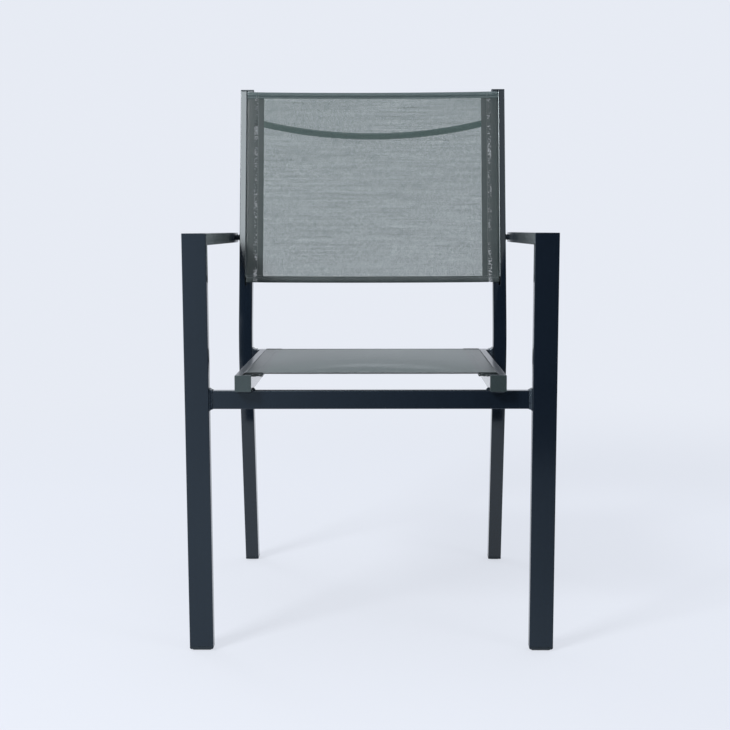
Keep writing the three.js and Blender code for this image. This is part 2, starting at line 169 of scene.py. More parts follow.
class Graph:
    """Adds nodes to one tree and joins them."""

    def __init__(self, tree):
        self.tree = tree

    def node(self, kind, inputs=(), **settings):
        made = self.tree.nodes.new(kind)
        for name, value in settings.items():
            setattr(made, name, value)
        self.fill(made, inputs if isinstance(inputs, dict) else dict(enumerate(inputs)))
        return made

    def out(self, kind, inputs=(), **settings):
        return self.node(kind, inputs, **settings).outputs[0]

    def fill(self, made, values):
        for key, value in values.items():
            self.feed(made.inputs[key], value)

    def feed(self, socket, value):
        if isinstance(value, bpy.types.NodeSocket):
            self.tree.links.new(value, socket)
        elif hasattr(value, "__len__") and socket.type == "RGBA" and len(value) == 3:
            socket.default_value = (*value, 1)
        else:
            socket.default_value = value

    def math(self, operation, *values):
        return self.out("ShaderNodeMath", values, operation=operation)

    def times(self, first, second):
        return self.math("MULTIPLY", first, second)

    def fit(self, value, gain, start):
        return self.math("MULTIPLY_ADD", value, gain, start)

    def vector(self, operation, *values):
        made = self.node("ShaderNodeVectorMath", values, operation=operation)
        return made.outputs["Value" if operation in ("DOT_PRODUCT", "LENGTH") else "Vector"]

    def mix(self, factor, first, second, blend="MIX"):
        values = {0: factor, 6: first, 7: second}
        return self.node("ShaderNodeMix", values, data_type="RGBA", blend_type=blend).outputs[2]

    def span(self, value, low, high, to_low=0.0, to_high=1.0):
        values = (value, low, high, to_low, to_high)
        return self.out("ShaderNodeMapRange", values, interpolation_type="SMOOTHSTEP")

    def noise(self, vector, scale, detail=2.0, roughness=0.5):
        values = {"Vector": vector, "Scale": scale, "Detail": detail, "Roughness": roughness}
        return self.out("ShaderNodeTexNoise", values)

    def combine(self, x, y, z=0.0):
        return self.out("ShaderNodeCombineXYZ", (x, y, z))

    def split(self, vector):
        return self.node("ShaderNodeSeparateXYZ", (vector,)).outputs

    def place(self):
        return self.node("ShaderNodeTexCoord").outputs["Object"]

    def bump(self, height, strength, distance):
        values = {"Strength": strength, "Distance": distance, "Height": height}
        return self.out("ShaderNodeBump", values)

    def group(self, tree, values):
        return self.node("ShaderNodeGroup", values, node_tree=tree).outputs


FLOAT = "NodeSocketFloat"
VECTOR = "NodeSocketVector"


def shader_group(name, inputs, outputs):
    """A shader node group with numbers for inputs: its graph, its inputs and its output node."""
    tree = bpy.data.node_groups.new(name, "ShaderNodeTree")
    for label, default in inputs.items():
        tree.interface.new_socket(label, in_out="INPUT", socket_type=FLOAT).default_value = default
    for label, kind in outputs.items():
        tree.interface.new_socket(label, in_out="OUTPUT", socket_type=kind)
    graph = Graph(tree)
    return graph, graph.node("NodeGroupInput").outputs, graph.node("NodeGroupOutput")


# Sizes of the patterns, as cells to the metre
CLOUDS_TO_THE_METRE = 9.0
RUBS_TO_THE_METRE = 140.0
TWISTS_TO_THE_METRE = 900.0

# Thick and thin threads: cells across and along the cloth, a seed, and how much they close the holes
WEFT_SLUBS = (9.0, 260.0, 3.7, -0.87)
WARP_SLUBS = (520.0, 170.0, 41.3, -1.75)

# How much thick threads darken the cloth, and the warp's share in that
SLUB_TONE = -1.2
WARP_TONE = 0.3

# Needle gaps: cells across and along the seam, how often they come in groups, the level above
# which a cell is a gap, and how much a group lowers it
GAP_CELLS = (210.0, 300.0)
GAP_GROUPS = 38.0
GAP_LEVEL = 0.755
GROUP_SHARE = -0.45


def coat_grain_group():
    """Fine bumps and faint cloudiness of a sprayed or moulded surface."""
    graph, given, result = shader_group(
        "Surface Grain", {"Grain Size": 0.001, "Strength": 0.2, "Unevenness": 0.1},
        {"Normal": VECTOR, "Cloud": FLOAT, "Grain": FLOAT},
    )
    place = graph.place()
    fine = graph.noise(place, graph.math("DIVIDE", 1.0, given["Grain Size"]), 2.0, 0.6)
    broad = graph.noise(place, CLOUDS_TO_THE_METRE, 3.0, 0.55)
    cloud = graph.math("SUBTRACT", broad, 0.5)
    graph.fill(result, {
        "Normal": graph.bump(fine, given["Strength"], 0.2 * MM),
        "Cloud": graph.fit(cloud, given["Unevenness"], 1.0),
        "Grain": fine,
    })
    return graph.tree


def edge_wear_group():
    """A mask of the sharp edges, broken up, where a finish is rubbed."""
    graph, given, result = shader_group("Rubbed Edges", {"Width": 0.001, "Amount": 0.3}, {"Mask": FLOAT})
    flat = graph.node("ShaderNodeNewGeometry").outputs["Normal"]
    rounded = graph.out("ShaderNodeBevel", {"Radius": given["Width"]}, samples=4)
    sharp = graph.span(graph.vector("DOT_PRODUCT", flat, rounded), 0.995, 0.93)
    broken = graph.span(graph.noise(graph.place(), RUBS_TO_THE_METRE, 3.0, 0.6), 0.42, 0.62)
    rubbed = graph.times(sharp, broken)
    graph.fill(result, {"Mask": graph.times(rubbed, given["Amount"])})
    return graph.tree


def woven_yarn_group():
    """Plain weave on the piece's own map, in metres: yarn heights, holes, thick and thin threads."""
    graph, given, result = shader_group(
        "Woven Yarn", {"Across": 0, "Along": 0, "Pitch": 0.0012, "Hole": 0.6, "Unevenness": 0.2},
        {"Height": FLOAT, "Hole": FLOAT, "Thread": FLOAT},
    )
    across = graph.math("DIVIDE", given["Across"], given["Pitch"])
    along = graph.math("DIVIDE", given["Along"], given["Pitch"])
    ridges = []
    slubs = []
    clear = []
    for turns, slubbing in ((across, WARP_SLUBS), (along, WEFT_SLUBS)):
        cells_across, cells_along, seed, share = slubbing
        ridge = graph.math("ABSOLUTE", graph.math("SINE", graph.times(turns, math.pi)))
        cell_x = graph.times(given["Across"], cells_across)
        cell_y = graph.times(given["Along"], cells_along)
        cells = graph.noise(graph.combine(cell_x, cell_y, seed), 1.0, 2.0, 0.55)
        slub = graph.math("SUBTRACT", cells, 0.5)
        closing = graph.times(given["Unevenness"], share)
        narrow = graph.fit(slub, closing, given["Hole"])
        clear.append(graph.math("LESS_THAN", ridge, narrow))
        ridges.append(ridge)
        slubs.append(slub)
    warp, weft = ridges
    crossings = graph.math("ADD", graph.math("FLOOR", across), graph.math("FLOOR", along))
    over = graph.math("PINGPONG", crossings, 1.0)
    top = graph.times(warp, graph.fit(over, 0.5, 0.5))
    under = graph.times(weft, graph.fit(over, -0.5, 1.0))
    thick = graph.fit(slubs[0], WARP_TONE, slubs[1])
    darker = graph.times(given["Unevenness"], SLUB_TONE)
    graph.fill(result, {
        "Height": graph.math("MAXIMUM", top, under),
        "Hole": graph.times(*clear),
        "Thread": graph.fit(thick, darker, 1.0),
    })
    return graph.tree


def needle_gap_group():
    """Small open places beside a seam that runs up the cloth, where the needle pulled it apart."""
    graph, given, result = shader_group(
        "Needle Gaps", {"Seam": 0.2, "Width": 0.001, "Amount": 0.5}, {"Mask": FLOAT},
    )
    place = graph.split(graph.place())
    from_middle = graph.math("ABSOLUTE", place["X"])
    off = graph.math("ABSOLUTE", graph.math("SUBTRACT", from_middle, given["Seam"]))
    near = graph.math("LESS_THAN", off, given["Width"])
    run = graph.math("ADD", place["Z"], place["Y"])
    cell_x = graph.times(place["X"], GAP_CELLS[0])
    cell_y = graph.times(run, GAP_CELLS[1])
    spot = graph.noise(graph.combine(cell_x, cell_y), 1.0, 2.0, 0.6)
    stretch = graph.times(run, GAP_GROUPS)
    group = graph.noise(graph.combine(graph.math("SIGN", place["X"]), stretch, 5.3), 1.0, 1.0, 0.5)
    level = graph.fit(group, GROUP_SHARE, GAP_LEVEL)
    gap = graph.times(near, graph.math("GREATER_THAN", spot, level))
    graph.fill(result, {"Mask": graph.times(gap, given["Amount"])})
    return graph.tree


def new_material(name):
    """An empty material, its graph and its Principled shader."""
    material = bpy.data.materials.new(name)
    material.use_nodes = True
    graph = Graph(material.node_tree)
    shader = material.node_tree.nodes["Principled BSDF"]
    return material, graph, shader


# Powder coats: gloss, its tint, share of the coat's roughness, and share of a clear top layer
COATS = {
    "coat": (0.5, (0.74, 0.90, 1.0), 1.0, 0.0),
    "post": (0.61, (0.88, 0.97, 1.0), 0.45, 0.0),
    "rail": (1.0, (0.93, 0.98, 1.0), 2.3, 0.95),
    # The rail beads' coat is a duller, less glossy copy, which stands in for the shade under the seat
    # rails' caps
    "bead": (0.3, (0.74, 0.90, 1.0), 1.6, 0.0),
    "lip": (1.0, (0.85, 0.97, 1.0), 2.5, 0.0),
}

# Mouldings: the setting that holds the colour, roughness, gloss
MOULDINGS = {
    "cap": ("cap_colour", 0.22, 1.0),
    "crown": ("foot_colour", 0.34, 0.4),
    "foot": ("foot_colour", 0.30, 0.5),
    "glide": ("glide_colour", 0.55, 0.5),
    "rod": ("rod_colour", 0.5, 0.5),
}
MOULDED_TINT = (0.84, 0.98, 1.0)
MOULDED_GRAIN = 0.6 * MM

# Weaves: openness of the holes, unevenness, lightness (painted shade on the seat and the folds), roughness
WEAVES = {
    "back": (0.80, 0.36, 1.0, 0.42),
    "back_fold": (0.16, 0.3, 0.7, 0.48),
    "seat": (0.48, 0.3, 0.60, 0.31),
    "seat_fold": (0.16, 0.3, 0.6, 0.34),
}

# Painted shade: the face is painted darker and redder where the cloth is doubled, and each hem has its own
# lightness
DOUBLED_TINT = (1.12, 0.78, 0.87)
# Painted sheen on the back's top hem, which is painted lighter, and painted shade on the seat's hems
HEM_PAINTED_LIGHT = {"back": (1.0, 2.3), "seat": (0.5, 0.35)}

# Lightness of the thread, painted lighter on the seat against the shade along its seams, and how
# far off the seam's line the needle gaps reach
THREADS = {"back": 1.0, "seat": 1.5}
GAP_OFFSET = 4.5 * MM
GAP_REACH = 3.4 * MM

RUBBED_COLOUR = (0.10, 0.12, 0.14)
RUB_WIDTH = 1.2 * MM


def grained_material(name, groups, colour, grain, rough, gloss, tint, rubbed=0.0):
    """A sprayed or moulded surface. Its grain is a size, a strength and an unevenness, and its
    roughness is a range and a middle."""
    material, graph, shader = new_material(name)
    surface = graph.group(groups["grain"], grain)
    base = graph.mix(1.0, colour[:], surface["Cloud"], "MULTIPLY")
    if rubbed:
        wear = graph.group(groups["wear"], {"Width": RUB_WIDTH, "Amount": rubbed})
        base = graph.mix(wear["Mask"], base, RUBBED_COLOUR)
    grit = graph.math("SUBTRACT", surface["Grain"], 0.5)
    graph.fill(shader, {
        "Base Color": base, "Roughness": graph.fit(grit, *rough), "Normal": surface["Normal"],
        "Specular IOR Level": gloss, "Specular Tint": tint,
    })
    return material, graph, shader


def coat_material(name, settings, groups):
    """Dark powder coat on aluminium."""
    gloss, tint, dullness, clear = COATS[name]
    grain = (settings.grain_size, 0.06 * dullness, 0.25)
    rough = (0.10 * dullness, settings.coat_roughness * dullness)
    material, graph, shader = grained_material(
        "powder_" + name, groups, settings.coat_colour, grain, rough, gloss, tint, rubbed=0.25,
    )
    if clear:
        # The clear layer is thinner on faces that look up, which dims their reflection
        upward = graph.split(graph.node("ShaderNodeNewGeometry").outputs["Normal"])["Z"]
        weight = graph.span(upward, 0.5, 0.95, clear, 0.3 * clear)
        graph.fill(shader, {"Coat Weight": weight, "Coat Roughness": 0.10})
    return material


def moulded_material(name, settings, groups):
    """Fine-grained moulded plastic."""
    colour, roughness, gloss = MOULDINGS[name]
    grain = (MOULDED_GRAIN, 0.35, 0.2)
    return grained_material(
        "moulded_" + name, groups, getattr(settings, colour), grain, (0.15, roughness), gloss, MOULDED_TINT,
    )[0]


def face_colour(graph, place, settings, plan, hem_painted_light):
    """The yarn's colour on a sling's face, with painted shade where the cloth is doubled on its folded
    sides and hems, and each hem's own painted lightness.
    """
    single = settings.yarn_colour[:]
    doubled = [a * b for a, b in zip(single, DOUBLED_TINT)]
    if not plan:
        return doubled
    side = graph.math("GREATER_THAN", graph.math("ABSOLUTE", place["X"]), plan.band_edge)
    start = graph.math("LESS_THAN", place["Y"], plan.hem)
    end = graph.math("GREATER_THAN", place["Y"], plan.length - plan.hem)
    # Painted shade on the doubled sides
    yarn = graph.mix(side, single, doubled)
    # Each hem's painted lightness: a sheen on the back's top hem, shade on the seat's hems
    for hem, light in zip((start, end), hem_painted_light):
        yarn = graph.mix(hem, yarn, [light * part for part in doubled])
    return yarn


def woven_material(name, settings, groups, plan=None, seam=None):
    """Coated yarn in plain weave that shows what is behind it through its holes."""
    hole, unevenness, lightness, roughness = WEAVES[name]
    material, graph, shader = new_material("woven_" + name)
    place = graph.split(graph.out("ShaderNodeUVMap", uv_map="cloth"))
    weave = graph.group(groups["weave"], {
        "Across": place["X"], "Along": place["Y"], "Pitch": settings.yarn_pitch,
        "Hole": hole, "Unevenness": unevenness,
    })
    # Painted shade: the yarn is painted darker where it dips under the crossing yarn, and the thick and
    # thin threads add their own tone
    depth = graph.fit(weave["Height"], 0.5, 0.5)
    # The lightness paints shade on the seat's and the folded layers' copies of the same yarn
    shade_and_tone = graph.times(graph.times(depth, weave["Thread"]), lightness)
    yarn = face_colour(graph, place, settings, plan, HEM_PAINTED_LIGHT.get(name))
    solid = graph.math("SUBTRACT", 1.0, weave["Hole"])
    if seam:
        gaps = graph.group(groups["gaps"], {"Seam": seam + GAP_OFFSET, "Width": GAP_REACH, "Amount": 0.9})
        solid = graph.times(solid, graph.math("SUBTRACT", 1.0, gaps["Mask"]))
    graph.fill(shader, {
        "Base Color": graph.mix(1.0, yarn, shade_and_tone, "MULTIPLY"), "Roughness": roughness,
        "Normal": graph.bump(weave["Height"], 0.2, 0.3 * MM), "Alpha": solid,
    })
    return material


def thread_material(name, settings):
    """Twisted sewing thread."""
    material, graph, shader = new_material(name + "_thread")
    twist = graph.noise(graph.place(), TWISTS_TO_THE_METRE, 1.0)
    light = [THREADS[name] * part for part in settings.thread_colour]
    graph.fill(shader, {
        "Base Color": graph.mix(twist, light, [1.2 * part for part in light]),
        "Roughness": 0.5, "Normal": graph.bump(twist, 0.4, 0.1 * MM),
    })
    return material


FINISHES = {}


def finishes():
    """All the materials, made once."""
    if not FINISHES:
        metal = bpy.context.scene.chair_frame
        sling = bpy.context.scene.chair_sling
        groups = {
            "grain": coat_grain_group(), "wear": edge_wear_group(),
            "weave": woven_yarn_group(), "gaps": needle_gap_group(),
        }
        for name in COATS:
            FINISHES[name] = coat_material(name, metal, groups)
        for name in MOULDINGS:
            FINISHES[name] = moulded_material(name, metal, groups)
        for name, plan in (("back", back_plan()), ("seat", seat_plan())):
            FINISHES[name] = woven_material(name, sling, groups, plan)
            FINISHES[name + "_thread"] = thread_material(name, sling)
        FINISHES["back_fold"] = woven_material("back_fold", sling, groups, seam=BACK_SEAM)
        FINISHES["seat_fold"] = woven_material("seat_fold", sling, groups)
    return FINISHES


# Meshes

SAME_PLACE = 2e-6
SHARP_EDGE = math.radians(50)

# A laid weld: cells of its skin, distance from ripple to ripple, and how finely it wanders
BEAD_CELL = 0.6 * MM
BEAD_RIPPLE = 2.2 * MM
WANDERS_TO_THE_METRE = 260

# Heights in millimetres that a laid weld's wander, its ripples and its whole skin add
BEAD_WANDER = 0.32
BEAD_WAVE = 0.16
BEAD_SKIN = 0.15

# The lip beside a post's groove: where it starts and ends, how far it stands out, and its lean
LIP_START = 0.2 * MM
LIP_END = 1.2 * MM
LIP_HEIGHT = 2.1 * MM
LIP_LEAN = 0.42 * MM


def placed(name, data):
    """A new object in the scene."""
    obj = bpy.data.objects.new(name, data)
    bpy.context.scene.collection.objects.link(obj)
    return obj


def new_piece(name, mesh, material, replaced=()):
    """A finished mesh as a piece that rides on the chair."""
    obj = placed(name, mesh)
    mesh.materials.clear()
    mesh.materials.append(material)
    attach(obj, BODY)
    if replaced:
        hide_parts(*replaced)
    return obj


def both(kind):
    """The nodes of a kind at the left and at the right."""
    return [f"{kind}_{side}" for side, sign in SIDES]


def finished(shape, name):
    """The mesh of a shape that has been built."""
    mesh = bpy.data.meshes.new(name)
    shape.to_mesh(mesh)
    shape.free()
    return mesh


def merged_copy(node):
    """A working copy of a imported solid, welded, with its flat faces joined up."""
    shape = bmesh.new()
    shape.from_mesh(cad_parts[node].data)
    bmesh.ops.remove_doubles(shape, verts=shape.verts, dist=SAME_PLACE)
    bmesh.ops.dissolve_limit(shape, angle_limit=math.radians(0.5), verts=shape.verts, edges=shape.edges)
    mesh = finished(shape, node + "_shape")
    mesh.shade_smooth()
    return placed(node + "_work", mesh)


def applied(obj, name):
    """The evaluated mesh of a working object, plain, with its modifiers left behind."""
    bpy.context.view_layer.update()
    graph = bpy.context.evaluated_depsgraph_get()
    mesh = bpy.data.meshes.new_from_object(obj.evaluated_get(graph))
    mesh.name = name
    bpy.data.objects.remove(obj)
    return mesh


def rounded_copy(node, radius):
    """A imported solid's copy with its sharp edges rounded."""
    obj = merged_copy(node)
    bevel = obj.modifiers.new("Round", "BEVEL")
    bevel.width = radius
    bevel.segments = 2
    bevel.limit_method = "ANGLE"
    bevel.angle_limit = SHARP_EDGE
    level = obj.modifiers.new("Level", "WEIGHTED_NORMAL")
    level.mode = "FACE_AREA"
    level.weight = 100
    return applied(obj, node + "_mesh")


def laid_bead(node, seed):
    """A weld's copy with the uneven ripples of laid metal."""
    obj = merged_copy(node)
    skin = obj.modifiers.new("Skin", "REMESH")
    skin.mode = "VOXEL"
    skin.voxel_size = BEAD_CELL
    ease = obj.modifiers.new("Ease", "SMOOTH")
    ease.iterations = 4
    mesh = applied(obj, node + "_mesh")
    low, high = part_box(node)
    reach = high - low
    longest = max(range(3), key=lambda axis: reach[axis])
    moves = []
    for corner in mesh.vertices:
        wander = noise.noise(corner.co * WANDERS_TO_THE_METRE + Vector((seed, 0, 0)))
        phase = 2 * math.pi * corner.co[longest] / BEAD_RIPPLE + 2.5 * wander
        height = BEAD_WANDER * wander + BEAD_WAVE * math.sin(phase) + BEAD_SKIN
        moves.append(corner.normal * height * MM)
    for corner, move in zip(mesh.vertices, moves):
        corner.co += move
    mesh.shade_smooth()
    return mesh


def lip_mesh(sign):
    """The narrow lip on a post's front face, along the outside of the groove."""
    plan = back_plan()
    low = Vector((plan.groove + LIP_START, -LIP_HEIGHT, plan.start + plan.hem))
    high = Vector((plan.groove + LIP_END, LIP_HEIGHT, plan.start + plan.length))
    shape = bmesh.new()
    bmesh.ops.create_cube(shape, size=1.0)
    for corner in shape.verts:
        place = Vector([low[i] if corner.co[i] < 0 else high[i] for i in range(3)])
        if corner.co.x < 0 and corner.co.y < 0:
            place.y += LIP_LEAN
        place.x *= sign
        corner.co = plan.own_frame @ place
    bmesh.ops.recalc_face_normals(shape, faces=shape.faces)
    return finished(shape, "post_lip")


def grid_mesh(name, rows, charts):
    """Quads through rows of points, with a map in metres."""
    shape = bmesh.new()
    layer = shape.loops.layers.uv.new("cloth")
    points = [[shape.verts.new(p) for p in row] for row in rows]
    for r in range(len(rows) - 1):
        for c in range(len(rows[r]) - 1):
            corners = ((r, c), (r, c + 1), (r + 1, c + 1), (r + 1, c))
            face = shape.faces.new([points[i][j] for i, j in corners])
            for loop, (i, j) in zip(face.loops, corners):
                loop[layer].uv = charts[i][j]
    return finished(shape, name)


def joined(name, meshes):
    """Several meshes as one."""
    shape = bmesh.new()
    for mesh in meshes:
        shape.from_mesh(mesh)
        bpy.data.meshes.remove(mesh)
    return finished(shape, name)


def thickened(mesh, thickness, name):
    """A sheet given its thickness on both sides."""
    obj = placed(name + "_work", mesh)
    skin = obj.modifiers.new("Thickness", "SOLIDIFY")
    skin.thickness = thickness
    skin.offset = 0
    skin.use_even_offset = True
    result = applied(obj, name)
    result.shade_smooth()
    result.set_sharp_from_angle(angle=SHARP_EDGE)
    return result


# Slings

# Sizes of a sling's mesh and of the seams' paths
CLOTH_STEP = 3.5 * MM
CLOSEST_LEVELS = 0.4 * MM
SIDE_SEAM_STEPS = 90
HEM_SEAM_STEPS = 110

# The least and the most that chance makes of a stitch's length, width and height
STITCH_LEAST = (0.82, 0.8, 0.8)
STITCH_MOST = (1.08, 1.15, 1.15)

# Heights at which the seat's corner folds are drawn
FOLD_LEVELS = (0.5 * MM, 2 * MM, 5 * MM, 8 * MM, 10 * MM)
FOLD_POINTS = 25


def smooth_step(value, low, high):
    """0 below low, 1 above high, smooth between."""
    share = min(1.0, max(0.0, (value - low) / (high - low)))
    return share * share * (3 - 2 * share)


class SlingPlan:
    """One sling in its own frame: x across, z along, and y in from the tubes' face."""

    # Depth of the face and of the layer behind it, one layer's thickness, and depth in the slot
    FRONT = -1.5 * MM
    BEHIND = -0.7 * MM
    LAYER = 0.75 * MM
    SLOT_DEPTH = 1.2 * MM

    # How far the hem's seam stands off its inner edge, the face off the groove's middle, and
    # the hems off the grooves
    SEAM_IN = 2.4 * MM
    EDGE_IN = 0.7 * MM
    HEM_IN = 3 * MM

    # Where the face has bent out of its slot, and how far the seams' marks on it reach
    BEND = 2.2 * MM
    SEAM_CLEAR = 2.2 * MM
    SEAM_MARKS = (-1.6, -0.8, 0, 0.8, 1.6)
    BITE_REACH = 0.9 * MM

    # Height of the pucker, and how far it reaches from the side seams and from the hems
    PUCKER = 0.35 * MM
    SIDE_PUCKER = 14 * MM
    HEM_PUCKER = 12 * MM

    def __init__(self, own_frame, start, groove, support, length, band, hem, seam, sag, roll, bite):
        self.own_frame = own_frame
        self.start = start
        self.groove = groove
        self.support = support
        self.length = length
        self.band_edge = groove - band
        self.hem = hem
        self.hem_seam = hem - self.SEAM_IN
        self.hem_reach = groove - self.HEM_IN
        self.seam = seam
        self.sag = sag
        self.roll = roll
        self.bite = bite

    def off_end(self, z):
        """How far a level is from the nearer end."""
        return min(z, self.length - z)

    def lift(self, x, z):
        """The corners hold one layer more, which pushes the face outwards."""
        side = smooth_step(abs(x), self.band_edge - 2 * MM, self.band_edge + 1 * MM)
        end = smooth_step(self.off_end(z), self.hem - 1 * MM, self.hem + 2 * MM)
        return self.LAYER * side * (1 - end)

    def puff(self, x, z):
        """The turned hem stands proud between its fold and its seam, and each seam bites in."""
        end = self.off_end(z)
        run = self.hem_seam
        height = self.roll[0] if z < self.length / 2 else self.roll[1]
        roll = height * math.sin(math.pi * end / run) if 0 < end < run else 0.0
        bite = self.bite * math.exp(-((end - run) / self.BITE_REACH) ** 2)
        side = 0.5 * self.bite * math.exp(-((abs(x) - self.seam) / self.BITE_REACH) ** 2)
        return roll - bite - side

    def bow(self, x, z):
        """How far the cloth hangs in between its supports."""
        share = max(0.0, 1 - (x / self.support) ** 2)
        return self.sag(z / self.length) * share

    def pucker(self, x, z):
        """Small ripples where the seams gather the cloth."""
        seam = math.exp(-((abs(x) - self.band_edge) / self.SIDE_PUCKER) ** 2)
        hem = math.exp(-((self.off_end(z) - self.hem) / self.HEM_PUCKER) ** 2) * (abs(x) < self.support)
        wave = noise.noise(Vector((x * 14, z * 60, 1.7)))
        ripple = noise.noise(Vector((x * 60, z * 14, 8.1)))
        return self.PUCKER * (seam * wave + hem * ripple)

    def depth(self, x, y, z):
        """A layer's own depth with the bow, and with the pucker where nothing lies behind."""
        free = 1.0 if abs(x) < self.support else 0.0
        return y + self.bow(x, z) + self.pucker(x, z) * free

    def placed(self, x, inward, z):
        """A place on the sling in the chair's frame."""
        return self.own_frame @ Vector((x, inward, self.start + z))

    def point(self, x, y, z):
        """A point of the face, which the hems and the corners push outwards."""
        inward = self.depth(x, y, z)
        if y < self.BEHIND - 1e-6:
            inward -= self.lift(x, z) + self.puff(x, z)
        return self.placed(x, inward, z)

    def front_profile(self):
        """x and y across the face, out of one groove and into the other."""
        edge = self.groove - self.EDGE_IN
        half = [
            (edge, self.SLOT_DEPTH), (edge, 0.2 * MM), (edge - 0.05 * MM, -0.7 * MM),
            (edge - 0.35 * MM, -1.2 * MM), (edge - 1.0 * MM, -1.45 * MM), (edge - self.BEND, self.FRONT),
        ]
        count = int(2 * (edge - self.BEND) / CLOTH_STEP)
        even = [(-1 + 2 * (i + 1) / (count + 1)) * (edge - self.BEND) for i in range(count)]
        seams = [side * (self.seam + off * MM) for side in (-1, 1) for off in self.SEAM_MARKS]
        clear = [x for x in even if abs(abs(x) - self.seam) > self.SEAM_CLEAR]
        return (
            [(-x, y) for x, y in half]
            + [(x, self.FRONT) for x in sorted(clear + seams)]
            + [(x, y) for x, y in reversed(half)]
        )

    def band_profile(self):
        """x and y of the fold-back at one side, out of the groove to its inner edge."""
        edge = self.groove - self.EDGE_IN - self.LAYER
        bent = [
            (edge, self.SLOT_DEPTH), (edge, 0.3 * MM),
            (edge - 0.25 * MM, -0.35 * MM), (edge - 0.9 * MM, -0.66 * MM),
        ]
        start = edge - 2 * MM
        count = max(2, int((start - self.band_edge) / CLOTH_STEP))
        flat = [start + (self.band_edge - start) * i / count for i in range(count + 1)]
        return bent + [(x, self.BEHIND) for x in flat]

    def levels(self, margin=0.0):
        """z along the sling, closer together round the hems."""
        marks = {margin, self.length - margin}
        count = int(self.length / CLOTH_STEP)
        for i in range(1, count):
            marks.add(self.length * i / count)
        inside = [self.hem_seam * share for share in (0.12, 0.25, 0.4, 0.55, 0.7, 0.84)]
        at_seam = [self.hem_seam - 0.7 * MM, self.hem_seam, self.hem_seam + 0.7 * MM]
        at_hem = [self.hem - 1 * MM, self.hem, self.hem + 1 * MM, self.hem + 2 * MM]
        for end in inside + at_seam + at_hem:
            marks.update((end, self.length - end))
        ordered = sorted(m for m in marks if margin <= m <= self.length - margin)
        kept = [ordered[0]]
        for mark in ordered[1:]:
            if mark - kept[-1] > CLOSEST_LEVELS:
                kept.append(mark)
        return kept


def plan_between(label, tube, group_frame, to_face, axis, **sizes):
    """The plan of a sling that is held in the grooves of two tubes, along an axis of its group."""
    low, high = box_in(label + "_sling", group_frame)
    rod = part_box(label + "_keder_right")
    groove = (rod[0].x + rod[1].x) / 2
    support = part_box(tube + "_right")[0].x
    return SlingPlan(group_frame @ to_face, low[axis], groove, support, high[axis] - low[axis], **sizes)


def back_plan():
    """The back sling between the posts."""
    sag = bpy.context.scene.chair_sling.back_sag
    return plan_between(
        "back", "back_post", BACK_FRAME, Matrix.Translation((0, POST_FRONT, 0)), axis=2,
        band=31 * MM, hem=11 * MM, seam=BACK_SEAM, sag=lambda share: sag,
        roll=(0.6 * MM, 1.6 * MM), bite=0.22 * MM,
    )


def seat_plan():
    """The seat sling between the rails, whose middle stands a little higher than its hems."""
    rise = bpy.context.scene.chair_sling.seat_rise
    return plan_between(
        "seat", "seat_rail", SEAT_FRAME, Matrix.Rotation(-math.pi / 2, 4, "X"), axis=1,
        band=29 * MM, hem=11 * MM, seam=SEAT_SEAM, sag=lambda share: -rise * 4 * share * (1 - share),
        roll=(0.15 * MM, 0.7 * MM), bite=0.02 * MM,
    )


def lengths_along(profile):
    """Running length of an open outline, zero at its middle."""
    runs = [0.0]
    for (x0, y0), (x1, y1) in zip(profile, profile[1:]):
        runs.append(runs[-1] + math.hypot(x1 - x0, y1 - y0))
    return [run - runs[-1] / 2 for run in runs]


def face_sheet(plan, name):
    """The sling's face, one layer from groove to groove."""
    profile = plan.front_profile()
    runs = lengths_along(profile)
    levels = plan.levels()
    rows = [[plan.point(x, y, z) for x, y in profile] for z in levels]
    charts = [[(run, z) for run in runs] for z in levels]
    return grid_mesh(name, rows, charts)


def band_sheets(plan, name):
    """The fold-backs behind both side edges."""
    meshes = []
    profile = plan.band_profile()
    runs = lengths_along(profile)
    levels = plan.levels(0.8 * MM)
    for side, sign in SIDES:
        outline = [(sign * x, y) for x, y in profile]
        rows = [
            [plan.placed(x, plan.depth(x, y, z) - plan.lift(x, z), z) for x, y in outline]
            for z in levels
        ]
        charts = [[(sign * run + 0.37 * MM, z + 0.51 * MM) for run in runs] for z in levels]
        meshes.append(grid_mesh(f"{name}_{side}", rows, charts))
    return joined(name, meshes)


def hem_sheets(plan, name):
    """The folds behind the sling's two ends, each turned over at its edge."""
    count = int(2 * plan.hem_reach / CLOTH_STEP)
    across = [plan.hem_reach * (2 * i / count - 1) for i in range(count + 1)]
    # Distance from the sling's end, and share of the way from the back layer to the face
    flat = [(plan.hem, 0.0), (plan.hem * 0.6, 0.0), (plan.hem * 0.3, 0.0), (1.2 * MM, 0.0)]
    turn = [(0.5 * MM, 0.03), (0.1 * MM, 0.25), (-0.05 * MM, 0.5), (0.1 * MM, 0.78)]
    meshes = []
    for flip in (False, True):
        rows = []
        charts = []
        for end, share in flat + turn:
            z = plan.length - end if flip else end
            row = []
            for x in across:
                front = plan.FRONT - plan.lift(x, max(0.0, min(z, plan.length)))
                y = plan.BEHIND + (front - plan.BEHIND) * share
                row.append(plan.placed(x, plan.depth(x, y, z), z))
            rows.append(row)
            charts.append([(x + 0.29 * MM, z + 0.43 * MM) for x in across])
        meshes.append(grid_mesh(f"{name}_{flip}", rows, charts))
    return joined(name, meshes)


